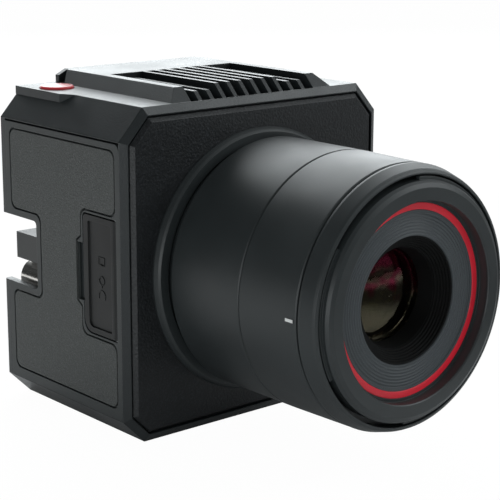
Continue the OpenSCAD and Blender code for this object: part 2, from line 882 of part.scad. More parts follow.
module right_side_panel() {
  color([0.21, 0.22, 0.225]) placed() difference() {
    slab_x(-half_w, panel_t - half_w) polygon(panel_outline());
    slab_x(-half_w - cut, inset_t - half_w) polygon(right_inset_outline(0));
    // Opening of the port cover with its finger recess
    slab_x(-half_w - cut, panel_t - half_w + cut)
      polygon(rounded(rectangle(flap_front - flap_gap, flap_rear + flap_gap,
                                flap_low - flap_gap, flap_high + flap_gap),
                      [hinge_corner, flap_r, flap_small_r, hinge_corner]));
    block(-half_w - cut, panel_t - half_w + cut, flap_rear - cut, flap_rear + zone_margin + nail_reach,
          lens_z - nail_h / 2, lens_z + nail_h / 2);
    hinge_pin();
    notch_cut(-half_w - cut, panel_t - half_w + cut);
  }
}

module right_inset() {
  color([0.24, 0.25, 0.255]) placed()
    slab_x(-half_w, inset_t - half_w) polygon(right_inset_outline(groove_w));
}

// Left side: a plain inset with the intake slots
function left_inset_outline(g) =
  rounded(rectangle(inset_front + g, inset_rear - g, inset_low + g, inset_top - g), inset_r);

module left_side_panel() {
  color([0.21, 0.22, 0.225]) placed() difference() {
    slab_x(half_w - panel_t, half_w) polygon(panel_outline());
    slab_x(half_w - inset_t, half_w + cut) polygon(left_inset_outline(0));
    intake_slots(half_w - panel_t - cut, half_w + cut);
  }
}

module left_inset() {
  color([0.24, 0.25, 0.255]) placed() difference() {
    slab_x(half_w - inset_t, half_w) polygon(left_inset_outline(groove_w));
    intake_slots(half_w - inset_t - cut, half_w + cut);
  }
}

// Vent grille: tall fins flush with the hump, low fins at both sides, two bars under them
module vent_grille() {
  color([0.2, 0.205, 0.21]) placed() {
    for (i = [0 : fin_count - 1]) {
      x = (i - (fin_count - 1) / 2) * fin_pitch;
      low = i < low_fins || i >= fin_count - low_fins;
      slab_x(x - fin_t / 2, x + fin_t / 2) polygon(low ? low_fin() : tall_fin());
    }
    for (y = [vent_front, vent_rear - grille_bar_w])
      block(-vent_w / 2, vent_w / 2, y, y + grille_bar_w, fan_top, fan_top + grille_bar_h);
  }
}

function tall_fin() =
  [[vent_front, fan_top], [vent_rear, fan_top], [vent_rear, deck_z], [hump_top_y + fin_setback, deck_z],
   [hump_foot_y + fin_setback, body_h], [hump_foot_y + fin_setback, vent_sill_z], [vent_front, vent_sill_z]];

function low_fin() =
  [[vent_front, fan_top], [vent_rear, fan_top], [vent_rear, deck_z - low_drop],
   [low_top_y, deck_z - low_drop], [hump_foot_y + fin_setback, body_h],
   [hump_foot_y + fin_setback, vent_sill_z], [vent_front, vent_sill_z]];

module heat_sink() {
  pitch = (sink_w - sink_fin_t) / (sink_fins - 1);
  leg_y = board_y - chip_t - sink_leg_t;
  color([0.72, 0.74, 0.76]) placed() {
    block(-sink_w / 2, sink_w / 2, sink_front, sink_rear, sink_low, sink_top);
    block(-sink_leg_w / 2, sink_leg_w / 2, sink_front, leg_y + sink_leg_t, sink_low, sink_top);
    block(-sink_leg_w / 2, sink_leg_w / 2, leg_y, leg_y + sink_leg_t, chip_z - chip_w / 2, sink_low);
    for (i = [0 : sink_fins - 1])
      block(i * pitch - sink_w / 2, i * pitch - sink_w / 2 + sink_fin_t, sink_front, sink_rear,
            sink_top, fan_low);
  }
}

module fan_frame() {
  color([0.1, 0.1, 0.105]) placed() translate([0, fan_y, 0]) {
    difference() {
      slab_z(fan_low, fan_top)
        polygon(rounded(rectangle(-fan_w / 2, fan_w / 2, -fan_w / 2, fan_w / 2), fan_corner));
      rod_z(fan_r, 0, 0, fan_low - cut, fan_top + cut);
    }
    for (a = [30, 150, 270])
      rotate([0, 0, a]) block(0, fan_r + cut, -fan_arm_w / 2, fan_arm_w / 2, fan_low, fan_low + fan_floor_t);
    rod_z(fan_boss_r, 0, 0, fan_low, fan_low + fan_floor_t);
    rod_z(fan_pin_r, 0, 0, fan_low, fan_top - 2 * fan_floor_t);
  }
}

module fan_rotor() {
  low = fan_low + 2 * fan_floor_t;
  high = fan_top - fan_floor_t;
  color([0.14, 0.14, 0.15]) placed() translate([0, fan_y, 0]) difference() {
    union() {
      rod_z(fan_hub_r, 0, 0, low, high);
      intersection() {
        rod_z(fan_blade_r, 0, 0, low, high);
        for (i = [0 : blade_count - 1])
          rotate([0, 0, i * 360 / blade_count])
            translate([fan_hub_r - cut, 0, (low + high) / 2])
              rotate([blade_tilt, 0, 0])
                translate([0, -fan_t / 2, -blade_t / 2]) cube([fan_blade_r, fan_t, blade_t]);
      }
    }
    rod_z(fan_pin_r + running_gap, 0, 0, low - cut, fan_top - 2 * fan_floor_t + running_gap);
  }
}

module main_board() {
  color([0.06, 0.2, 0.12]) placed()
    block(-board_half_w, board_half_w, board_y, board_rear, board_low, board_high);
}

module processor() {
  color([0.08, 0.08, 0.085]) placed()
    block(-chip_w / 2, chip_w / 2, board_y - chip_t, board_y, chip_z - chip_w / 2, chip_z + chip_w / 2);
}

module sensor_board() {
  color([0.06, 0.2, 0.12]) placed()
    block(-sensor_half_w, sensor_half_w, sensor_y, sensor_y + sensor_board_t,
          lens_z - sensor_board_h / 2, lens_z + sensor_board_h / 2);
}

module image_sensor() {
  color([0.15, 0.12, 0.2]) placed() {
    block(-sensor_w / 2, sensor_w / 2, sensor_y - sensor_t, sensor_y,
          lens_z - sensor_h / 2, lens_z + sensor_h / 2);
    block(-sensor_glass_w / 2, sensor_glass_w / 2, sensor_y - sensor_t - sensor_glass_t, sensor_y - sensor_t,
          lens_z - sensor_glass_h / 2, lens_z + sensor_glass_h / 2);
  }
}

module sensor_flex() {
  color([0.75, 0.5, 0.2]) placed()
    block(-flex_w / 2, flex_w / 2, sensor_y + sensor_board_t, board_y,
          lens_z - flex_drop, lens_z - flex_drop + flex_t);
}

module port_board() {
  color([0.06, 0.2, 0.12]) placed()
    block(-port_board_x, port_board_t - port_board_x, port_y - port_open_w / 2, board_y,
          port_low - port_board_margin, port_high + port_board_margin);
}

// Surround of the ports: it fills the opening in the side wall
module port_bezel() {
  color([0.12, 0.12, 0.125]) placed() difference() {
    block(panel_t - half_w, -inner_x, port_y - port_open_w / 2, port_y + port_open_w / 2,
          port_low, port_high);
    hinge_pocket();
    block(-half_w, cut - inner_x, port_y - video_w / 2, port_y + video_w / 2,
          video_z - video_h / 2, video_z + video_h / 2);
    for (z = [mic_z, phone_z])
      rod_x(jack_collar_r, port_y, z, -half_w, cut - inner_x);
  }
}

module video_socket() {
  tongue_h = video_h / 3;
  back = port_tail - port_board_x;
  color([0.75, 0.75, 0.76]) placed() {
    difference() {
      block(-port_face_x, -port_board_x - port_tail, port_y - video_w / 2, port_y + video_w / 2,
            video_z - video_h / 2, video_z + video_h / 2);
      block(-half_w, plug_depth - port_face_x, port_y - video_w / 2 + shell_t, port_y + video_w / 2 - shell_t,
            video_z - video_h / 2 + shell_t, video_z + video_h / 2 - shell_t);
    }
    block(shell_t - port_face_x, plug_depth - port_face_x, port_y - tongue_t / 2, port_y + tongue_t / 2,
          video_z - tongue_h, video_z + tongue_h);
    block(-port_board_x - port_tail, -port_board_x, port_y - video_w / 4, port_y + video_w / 4,
          video_z - tongue_h, video_z + tongue_h);
  }
}

module audio_jack(z) {
  difference() {
    union() {
      block(-inner_x, -port_board_x, port_y - jack_w / 2, port_y + jack_w / 2,
            z - jack_h / 2, z + jack_h / 2);
      rod_x(jack_collar_r, port_y, z, -port_face_x, cut - inner_x);
    }
    rod_x(jack_r, port_y, z, -half_w, plug_depth - port_face_x);
  }
}

module microphone_jack() {
  color([0.35, 0.12, 0.12]) placed() audio_jack(mic_z);
}

module headphone_jack() {
  color([0.1, 0.1, 0.1]) placed() audio_jack(phone_z);
}

// Port cover: a plate with a dished middle, turning on a pin along its front edge
module port_cover() {
  color([0.13, 0.135, 0.14]) placed() difference() {
    union() {
      slab_x(-half_w, flap_t - half_w)
        polygon(rounded(rectangle(hinge_y, flap_rear, flap_low, flap_high),
                        [hinge_corner, flap_r, flap_small_r, hinge_corner]));
      rod_z(hinge_r, -hinge_x, hinge_y, flap_low, flap_high);
    }
    slab_x(-half_w - cut, flap_dish - half_w)
      polygon(rounded(rectangle(flap_front + flap_rim, flap_rear - flap_rim,
                                flap_low + flap_rim_end, flap_high - flap_rim_end),
                      [flap_small_r / 2, flap_r / 2, flap_small_r / 2, flap_small_r / 2]));
    rod_z(hinge_pin_r + running_gap, -hinge_x, hinge_y, flap_low - cut, flap_high + cut);
  }
}

module port_cover_pin() {
  color([0.6, 0.6, 0.62]) placed() hinge_pin();
}

module record_button() {
  flange_top = record_flange_z + flange_t;
  height = body_h + record_proud - flange_top;
  edge = record_proud / 2;
  color([0.85, 0.12, 0.16]) placed() translate([-record_x, record_y, 0]) {
    translate([0, 0, flange_top]) rotate_extrude()
      polygon([[0, 0], [record_r, 0], [record_r, height - edge], [record_r - edge, height], [0, height]]);
    rod_z(record_r + flange_lip, 0, 0, record_flange_z, flange_top);
    rod_z(stem_r, 0, 0, record_flange_z - record_stem, record_flange_z);
  }
}

module record_switch() {
  color([0.3, 0.3, 0.3]) placed() {
    block(-record_x - switch_board_l / 2, switch_board_l / 2 - record_x, switch_post_y - post_r,
          record_y + switch_w / 2, switch_seat - switch_board_t, switch_seat);
    translate([-record_x, record_y, switch_seat]) {
      block(-switch_w / 2, switch_w / 2, -switch_w / 2, switch_w / 2, 0, switch_t);
      rod_z(plunger_r, 0, 0, switch_t, switch_t + plunger_h);
    }
  }
}

// Power button in the rear cover, and its switch on a board that stands on the roof of the bay
module power_button() {
  flange_face = power_flange_y + flange_t;
  color([0.25, 0.25, 0.26]) placed() {
    rod_y(power_r, -power_x, power_z, flange_face, body_d);
    rod_y(power_r + flange_lip, -power_x, power_z, power_flange_y, flange_face);
    rod_y(stem_r, -power_x, power_z, power_flange_y - power_stem, power_flange_y);
  }
}

module power_switch() {
  color([0.3, 0.3, 0.3]) placed() {
    rod_y(plunger_r, -power_x, power_z, power_seat + switch_t, power_plunger_y);
    block(-power_x - switch_w / 2, switch_w / 2 - power_x, power_seat, power_seat + switch_t,
          power_z - switch_w / 2, power_z + switch_w / 2);
    block(-power_x - switch_board_l / 2, switch_board_l / 2 - power_x,
          power_seat - switch_board_t, power_seat, bay_high + bay_wall, power_z + switch_w / 2);
  }
}

module touch_screen() {
  rim = display_rim + fit_gap;
  color([0.03, 0.03, 0.035]) placed() {
    slab_y(rear_face - screen_t, rear_face) polygon(screen_outline(0));
    slab_y(rear_face - screen_t - display_t, rear_face - screen_t)
      polygon(rectangle(screen_x0 + rim, screen_x1 - rim,
                        screen_z - screen_h / 2 + rim, screen_z + screen_h / 2 - rim));
  }
}

// Sockets of the rear bay: all stand on the main board and pass through the bay's floor
module power_socket() {
  color([0.1, 0.1, 0.105]) placed() {
    difference() {
      block(-power_sock_x - power_sock_w / 2, power_sock_w / 2 - power_sock_x, board_rear, power_sock_rear,
            power_sock_z - power_sock_h / 2, power_sock_z + power_sock_h / 2);
      rod_y(dc_r, -power_sock_x, power_sock_z, power_sock_rear - dc_depth, body_d);
    }
    rod_y(dc_pin_r, -power_sock_x, power_sock_z, power_sock_rear - dc_depth, power_sock_rear - dc_pin_r);
  }
}

module coaxial_socket() {
  bore_floor = coax_rear - coax_bore_depth;
  color([0.8, 0.79, 0.76]) placed() {
    difference() {
      union() {
        rod_y(coax_body_r, -coax_x, coax_z, board_rear, bay_floor);
        rod_y(coax_flange_r, -coax_x, coax_z, bay_floor, bay_floor + coax_flange_t);
        rod_y(coax_r, -coax_x, coax_z, bay_floor + coax_flange_t, coax_rear);
      }
      rod_y(coax_bore_r, -coax_x, coax_z, bore_floor, body_d);
    }
    rod_y(coax_core_r, -coax_x, coax_z, bore_floor, bore_floor + coax_core_len);
    rod_y(coax_pin_r, -coax_x, coax_z, bore_floor, coax_rear - coax_core_r);
  }
}

// Network socket standing on end, with the slot for the plug's latch at its inner side
module network_socket() {
  color([0.7, 0.7, 0.71]) placed() difference() {
    block(-net_x - net_w / 2, net_w / 2 - net_x, board_rear, net_rear, net_z - net_h / 2, net_z + net_h / 2);
    block(-net_x - net_open_w / 2, net_open_w / 2 - net_x, net_rear - net_depth, body_d,
          net_z - net_open_h / 2, net_z + net_open_h / 2);
    block(-net_x, net_open_w / 2 + net_latch_w - net_x, net_rear - net_depth, body_d,
          net_z - net_latch_h / 2, net_z + net_latch_h / 2);
  }
}

module usb_socket() {
  color([0.75, 0.75, 0.76]) placed() {
    difference() {
      block(-usb_x - usb_w / 2 - shell_t, usb_w / 2 + shell_t - usb_x, board_rear, usb_face,
            usb_z - usb_h / 2 - shell_t, usb_z + usb_h / 2 + shell_t);
      slab_y(usb_face - usb_depth, body_d)
        polygon(rounded(rectangle(-usb_x - usb_w / 2, usb_w / 2 - usb_x,
                                  usb_z - usb_h / 2, usb_z + usb_h / 2), usb_h * 12 / 25));
    }
    block(-usb_x - usb_w / 3, usb_w / 3 - usb_x, usb_face - usb_depth, usb_face - 2 * usb_tongue_t,
          usb_z - usb_tongue_t / 2, usb_z + usb_tongue_t / 2);
  }
}

module base_plate() {
  color([0.35, 0.36, 0.37]) placed() difference() {
    slab_z(0, plate_t)
      polygon(rounded(rectangle(-plate_w / 2, plate_w / 2, plate_y - plate_l / 2, plate_y + plate_l / 2),
                      plate_r));
    rod_z(bush_r, 0, plate_y, -cut, plate_t + cut);
    rod_z(twist_r, 0, twist_y, -cut, plate_t + cut);
    at_plate_screws() {
      rod_z(screw_r, 0, 0, -cut, plate_t + cut);
      rod_z(screw_head_r, 0, 0, -cut, screw_head_t);
    }
  }
}

module tripod_bush() {
  color([0.7, 0.71, 0.72]) placed() translate([0, plate_y, 0]) difference() {
    union() {
      rod_z(bush_r, 0, 0, 0, tripod_depth + bush_flange_t);
      rod_z(bush_flange_r, 0, 0, wall, wall + bush_flange_t);
    }
    rod_z(tripod_r, 0, 0, -cut, tripod_depth);
  }
}

module base_plate_screws() {
  color([0.5, 0.5, 0.52]) placed() at_plate_screws() rotate([180, 0, 0]) screw(screw_len);
}

module rear_cover_screws() {
  color([0.5, 0.5, 0.52]) placed()
    at_cover_screws() translate([0, rear_face, 0]) rotate([-90, 0, 0]) screw(rear_t + screw_len);
}

// Lens mount: a spigot through the front wall, a flange with four ears behind it
// and the posts that carry the sensor board
module lens_mount() {
  color([0.75, 0.75, 0.76]) placed() difference() {
    union() {
      turned([[mount_bore_r, -mount_back], [mount_flange_r, -mount_back], [mount_flange_r, -wall_back],
              [mount_r, -wall_back], [mount_r, 0], [mount_bore_r, 0]]);
      at_mount_screws() rod_y(mount_ear_w, 0, 0, wall_back, mount_back);
      for (x = [-1, 1]) for (z = [-mount_post_up, mount_post_up])
        rod_y(mount_post_r, x * (sensor_half_w - mount_post_in), lens_z + z, mount_back - cut, sensor_y);
    }
    at_mount_screws() rod_y(screw_r, 0, 0, wall_back - cut, mount_back + cut);
    rod_y(mount_bore_r, 0, lens_z, -cut, wall_back + cut);
  }
}

module lens_mount_screws() {
  color([0.5, 0.5, 0.52]) placed()
    at_mount_screws() {
      rod_y(screw_r, 0, 0, wall_back - mount_screw_grip, mount_back);
      rod_y(screw_head_r, 0, 0, mount_back, mount_back + screw_head_t);
    }
}

module lens_collar() {
  bore = neck_r + 4 * fit_gap;
  lip = collar_h / 4;
  color([0.12, 0.12, 0.125]) placed()
    turned([[bore, 0], [collar_r + lip, 0], [collar_r + lip, lip], [collar_r, collar_h - lip],
            [collar_r - lip, collar_h], [bore + lip, collar_h], [bore, collar_h - lip]]);
}

module rear_barrel() {
  color([0.11, 0.11, 0.115]) placed()
    turned([[mount_bore_r, 0], [neck_r, 0], [neck_r, neck_len], [barrel_r, neck_len + flare_len],
            [barrel_r, focus_start - barrel_edge], [barrel_r - barrel_edge, focus_start],
            [tube_r, focus_start], [tube_r, front_base], [tube_in_r, front_base],
            [tube_in_r, web_t], [mount_bore_r, web_t]]);
}

module focus_ring() {
  back = focus_start + joint_gap;
  color([0.12, 0.12, 0.125]) placed()
    turned([[tube_r + running_gap, back], [barrel_r - barrel_edge, back], [barrel_r, back + barrel_edge],
            [barrel_r - barrel_edge, focus_end - barrel_edge], [barrel_r - 2 * barrel_edge, focus_end],
            [tube_r + running_gap, focus_end]]);
}

module front_ring() {
  r = barrel_r - barrel_edge;
  color([0.11, 0.11, 0.115]) placed()
    turned([[baffle_r, front_base], [r - 2 * barrel_edge, front_base], [r, front_base + 2 * barrel_edge],
            [r, front_base + 4 * barrel_edge], [r - 3 * barrel_edge, front_edge - 3 * barrel_edge],
            [r - 4 * barrel_edge, front_edge - barrel_edge], [r - 6 * barrel_edge, front_edge],
            [front_in_r, front_edge], [front_in_r, front_base + front_web_t],
            [baffle_r, front_base + front_web_t]]);
}

// Nose of the filter ring: how far in from its outside and how far back, as shares of its bevel
nose_shares = [[0, 0.8], [0.35, 0.3], [1, 0]];

// Filter ring with the thread mouth, and the lugs of the hood bayonet on its outside
module filter_ring() {
  base = front_base + front_web_t;
  bevel = bezel_wall / 3;
  lug_back = front_edge - 2 * fit_gap - lug_h;
  color([0.13, 0.13, 0.135]) placed() {
    turned(concat(
      [[red_out_r, base], [bezel_r, base]],
      [for (s = nose_shares) [bezel_r - bevel * s[0], lens_len - bevel * s[1]]],
      [[filter_r + thread_lead, lens_len], [filter_r, lens_len - thread_lead],
       [filter_r, thread_back], [red_out_r, thread_back]]));
    for (i = [0 : lug_count - 1])
      translate([0, -lug_back, lens_z]) rotate([90, 0, 0])
        rotate([0, 0, lug_turn + i * 360 / lug_count]) rotate_extrude(angle = lug_angle, $fn = turned_fn)
          translate([bezel_r - fit_gap, 0]) square([lug_step + fit_gap, lug_h]);
  }
}

module red_ring() {
  base = front_base + front_web_t;
  color([0.75, 0.08, 0.14]) placed()
    turned([[red_in_r, base], [red_out_r, base], [red_out_r, red_face - fit_gap],
            [red_out_r - fit_gap, red_face], [red_in_r + fit_gap, red_face], [red_in_r, red_face - fit_gap]]);
}

// One ridge of the baffle: how far in and how far back, as shares of a ridge's step
ridge_shares = [[0.5, 0.15], [0.65, 1], [1, 1]];

// Front baffle: a lip, a face with fine grooves, ridges stepping down and a tapered sleeve for the glass
module front_baffle() {
  lip_in = baffle_r - baffle_lip_w;
  pitch = (lip_in - ridge_r) / baffle_grooves;
  color([0.1, 0.1, 0.105]) placed()
    turned(concat(
      [[sleeve_r, sleeve_base], [sleeve_out_r, sleeve_base], [sleeve_out_r, front_base],
       [baffle_r, front_base], [baffle_r, baffle_face], [lip_in, baffle_face]],
      [for (i = [0 : baffle_grooves - 1]) each
        [[lip_in - i * pitch, ridge_face],
         [lip_in - i * pitch - pitch / 2, ridge_face - baffle_groove_depth]]],
      [[ridge_r, ridge_face]],
      [for (i = [0 : ridge_count - 1]) for (s = ridge_shares)
        [ridge_r - (i + s[0]) * ridge_step, ridge_face - (i + s[1]) * ridge_step]],
      [[sleeve_r, sleeve_base + front_seat + front_glass_t + glass_clear]]));
}

// Outline of a glass element: a bulge is positive outwards, at the rear and at the front
function glass_profile(r, h0, h1, bulge0, bulge1) = concat(
  [for (i = [0 : element_steps]) let (s = i / element_steps) [r * s, h0 - bulge0 * (1 - s * s)]],
  [for (i = [element_steps : -1 : 0]) let (s = i / element_steps) [r * s, h1 + bulge1 * (1 - s * s)]]);

module front_element() {
  h = sleeve_base + front_seat;
  color([0.35, 0.4, 0.42, 0.6]) placed()
    turned(glass_profile(glass_r, h, h + front_glass_t, -front_glass_in, front_glass_out));
}

module second_element() {
  h = stop_at + stop_t + second_seat;
  color([0.35, 0.4, 0.42, 0.6]) placed()
    turned(glass_profile(cell_r, h, h + second_t, second_in, -second_out));
}

module optics_barrel() {
  color([0.13, 0.13, 0.135]) placed() difference() {
    turned([[optics_in_r, 0], [mount_bore_r, 0], [mount_bore_r, web_t], [sleeve_out_r, web_t],
            [sleeve_out_r, sleeve_base], [optics_in_r, sleeve_base]]);
    block(optics_in_r - cut, sleeve_out_r + cut, -focus_mid - slot_l / 2, slot_l / 2 - focus_mid,
          lens_z - arm_w / 2 - slot_gap, lens_z + arm_w / 2 + slot_gap);
  }
}

module aperture_stop() {
  color([0.05, 0.05, 0.05]) placed()
    turned([[stop_r, stop_at], [cell_r, stop_at], [cell_r, stop_at + stop_t], [stop_r, stop_at + stop_t]]);
}

// Focus group: a cell that slides in the optics barrel, with an arm and nut on the lead screw
module focus_cell() {
  low = focus_mid - cell_len / 2;
  high = focus_mid + cell_len / 2;
  color([0.2, 0.2, 0.21]) placed() difference() {
    union() {
      turned([[cell_r - cell_wall, low], [cell_r, low], [cell_r, high], [cell_r - cell_wall, high]]);
      block(cell_r - cut, motor_at, -focus_mid - arm_l / 2, arm_l / 2 - focus_mid,
            lens_z - arm_w / 2, lens_z + arm_w / 2);
      rod_y(nut_r, motor_at, lens_z, -focus_mid - arm_l / 2, arm_l / 2 - focus_mid);
    }
    rod_y(lead_r + running_gap, motor_at, lens_z, -focus_mid - arm_l, arm_l - focus_mid);
  }
}

module focus_lens() {
  low = focus_mid - focus_glass_t / 2;
  color([0.35, 0.4, 0.42, 0.6]) placed()
    turned(glass_profile(cell_r - cell_wall, low, low + focus_glass_t, focus_glass_out, focus_glass_out));
}

module rear_element() {
  h = web_t + rear_seat;
  color([0.35, 0.4, 0.42, 0.6]) placed()
    turned(glass_profile(cell_r, h, h + rear_glass_t, -rear_glass_in, rear_glass_out));
}

module focus_motor() {
  color([0.55, 0.55, 0.56]) placed() {
    rod_y(motor_r, motor_at, lens_z, -web_t - motor_len, -web_t);
    rod_y(lead_r, motor_at, lens_z, -lead_end, cut - web_t - motor_len);
  }
}

main_housing();
front_cover();
rear_cover();
right_side_panel();
right_inset();
left_side_panel();
left_inset();
vent_grille();
heat_sink();
fan_frame();
fan_rotor();
main_board();
processor();
sensor_board();
image_sensor();
sensor_flex();
port_board();
port_bezel();
video_socket();
microphone_jack();
headphone_jack();
port_cover();
port_cover_pin();
record_button();
record_switch();
power_button();
power_switch();
touch_screen();
power_socket();
coaxial_socket();
network_socket();
usb_socket();
base_plate();
tripod_bush();
base_plate_screws();
rear_cover_screws();
lens_mount();
lens_mount_screws();
lens_collar();
rear_barrel();
focus_ring();
front_ring();
filter_ring();
red_ring();
front_baffle();
front_element();
second_element();
optics_barrel();
aperture_stop();
focus_cell();
focus_lens();
rear_element();
focus_motor();
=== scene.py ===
import json
import math

import bpy
from mathutils import Matrix, Vector


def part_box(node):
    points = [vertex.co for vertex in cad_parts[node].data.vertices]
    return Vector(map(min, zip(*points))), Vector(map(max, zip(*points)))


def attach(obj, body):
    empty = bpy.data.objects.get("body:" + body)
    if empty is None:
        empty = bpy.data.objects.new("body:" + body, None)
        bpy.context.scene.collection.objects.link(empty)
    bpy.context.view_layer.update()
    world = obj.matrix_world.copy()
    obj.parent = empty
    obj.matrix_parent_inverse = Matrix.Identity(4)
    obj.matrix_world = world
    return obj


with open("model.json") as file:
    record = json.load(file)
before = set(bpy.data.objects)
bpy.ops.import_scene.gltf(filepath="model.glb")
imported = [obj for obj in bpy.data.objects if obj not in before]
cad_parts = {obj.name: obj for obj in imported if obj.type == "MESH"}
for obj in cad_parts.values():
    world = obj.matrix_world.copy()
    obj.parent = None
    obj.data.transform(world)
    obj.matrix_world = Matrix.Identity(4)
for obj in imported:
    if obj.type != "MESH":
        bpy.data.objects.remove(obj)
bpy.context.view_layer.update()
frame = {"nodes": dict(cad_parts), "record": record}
nodes = frame["nodes"]
scene = bpy.context.scene
mm = 0.001
print("frame loaded:", len(nodes), "nodes")


cameraView = {  # fitted to corners and ring edges of the photo
    "place": (-255.56 * mm, -294.55 * mm, 139.27 * mm),
    "yaw": 40.52,  # degrees to the right of +Y
    "pitch": 13.615,  # degrees down
    "roll": 0.214,
    "lens": 110.98,
    "sensor": 36,
    "nearest": 0.01,
    "farthest": 20,
}


def aimCamera(view):
    yaw, pitch, roll = (math.radians(view[key]) for key in ("yaw", "pitch", "roll"))
    reach = math.cos(pitch)
    ahead = Vector((math.sin(yaw) * reach, math.cos(yaw) * reach, -math.sin(pitch)))
    right = Vector((math.cos(yaw), -math.sin(yaw), 0))
    up = right.cross(ahead)
    side = right * math.cos(roll) + up * math.sin(roll)
    top = up * math.cos(roll) - right * math.sin(roll)
    data = bpy.data.cameras.new("camera")
    data.lens = view["lens"]
    data.sensor_width = view["sensor"]
    data.clip_start = view["nearest"]
    data.clip_end = view["farthest"]
    camera = bpy.data.objects.new("camera", data)
    turn = Matrix((side, top, -ahead)).transposed().to_4x4()
    camera.matrix_world = Matrix.Translation(view["place"]) @ turn
    scene.collection.objects.link(camera)
    scene.camera = camera


aimCamera(cameraView)
print("camera aimed")


class Wire:  # one socket, so that shader maths reads as an expression
    def __init__(self, shader, socket):
        self.shader = shader
        self.socket = socket

    def math(self, operation, other):
        return self.shader.add("ShaderNodeMath", {"operation": operation}, [self, other])

    def swapped(self, operation, other):
        return self.shader.add("ShaderNodeMath", {"operation": operation}, [other, self])

    def __add__(self, other):
        return self.math("ADD", other)

    def __radd__(self, other):
        return self.swapped("ADD", other)

    def __sub__(self, other):
        return self.math("SUBTRACT", other)

    def __rsub__(self, other):
        return self.swapped("SUBTRACT", other)

    def __mul__(self, other):
        return self.math("MULTIPLY", other)

    def __rmul__(self, other):
        return self.swapped("MULTIPLY", other)

    def __truediv__(self, other):
        return self.math("DIVIDE", other)

    def __rtruediv__(self, other):
        return self.swapped("DIVIDE", other)

    def above(self, level):
        return self.math("GREATER_THAN", level)

    def below(self, level):
        return self.math("LESS_THAN", level)

    def clipped(self):
        return self.shader.add("ShaderNodeClamp", {}, [self, 0.0, 1.0])

    def ramp(self, low, high):  # a smooth step from 0 at low to 1 at high
        return self.shader.add("ShaderNodeMapRange", {"interpolation_type": "SMOOTHSTEP"},
                               {"Value": self, "From Min": low, "From Max": high})


class Shader:  # the nodes of one material, or of the world
    def __init__(self, name, world=None):
        self.holder = world or bpy.data.materials.new(name)
        self.holder.use_nodes = True
        self.tree = self.holder.node_tree
        self.tree.nodes.clear()
        kind = "ShaderNodeOutputWorld" if world else "ShaderNodeOutputMaterial"
        self.output = self.tree.nodes.new(kind)

    def add(self, kind, settings=None, values=None, out=0):
        node = self.tree.nodes.new(kind)
        for key, value in (settings or {}).items():
            setattr(node, key, value)
        pairs = values.items() if isinstance(values, dict) else enumerate(values or [])
        for key, value in pairs:
            if isinstance(value, Wire):
                self.tree.links.new(value.socket, node.inputs[key])
            else:
                node.inputs[key].default_value = value
        return Wire(self, node.outputs[out])

    def outputs(self, kind, values=None):  # every output of a new node, by its name
        node = self.add(kind, {}, values).socket.node
        return {socket.name: Wire(self, socket) for socket in node.outputs}

    def mixColour(self, share, first, second):  # 6, 7 and 2 are a Mix node's colour sockets
        return self.add("ShaderNodeMix", {"data_type": "RGBA"}, {0: share, 6: first, 7: second}, out=2)

    def place(self, kind="Object"):
        return self.add("ShaderNodeTexCoord", out=kind)

    def axes(self, kind="Object"):
        return self.outputs("ShaderNodeSeparateXYZ", [self.place(kind)]).values()

    def noise(self, size, detail=2.0, roughness=0.5):
        return self.add("ShaderNodeTexNoise", {}, {"Vector": self.place(), "Scale": 1 / size,
                                                  "Detail": detail, "Roughness": roughness})

    def cells(self, size):
        return self.add("ShaderNodeTexVoronoi", {"feature": "SMOOTH_F1"},
                        {"Vector": self.place(), "Scale": 1 / size})

    def softEdges(self, radius):
        return self.add("ShaderNodeBevel", {"samples": 6}, {"Radius": radius})

    def bump(self, height, depth, edge):
        return self.add("ShaderNodeBump", {}, {"Height": height, "Distance": depth,
                                              "Normal": self.softEdges(edge)})

    def finish(self, surface):
        self.tree.links.new(surface.socket, self.output.inputs[0])
        return self.holder

    def principled(self, values):
        return self.finish(self.add("ShaderNodeBsdfPrincipled", {}, values))


def rgb(red, green, blue):
    return (red, green, blue, 1)


def brighter(colour, times):
    return rgb(*(min(1, part * times) for part in colour[:3]))


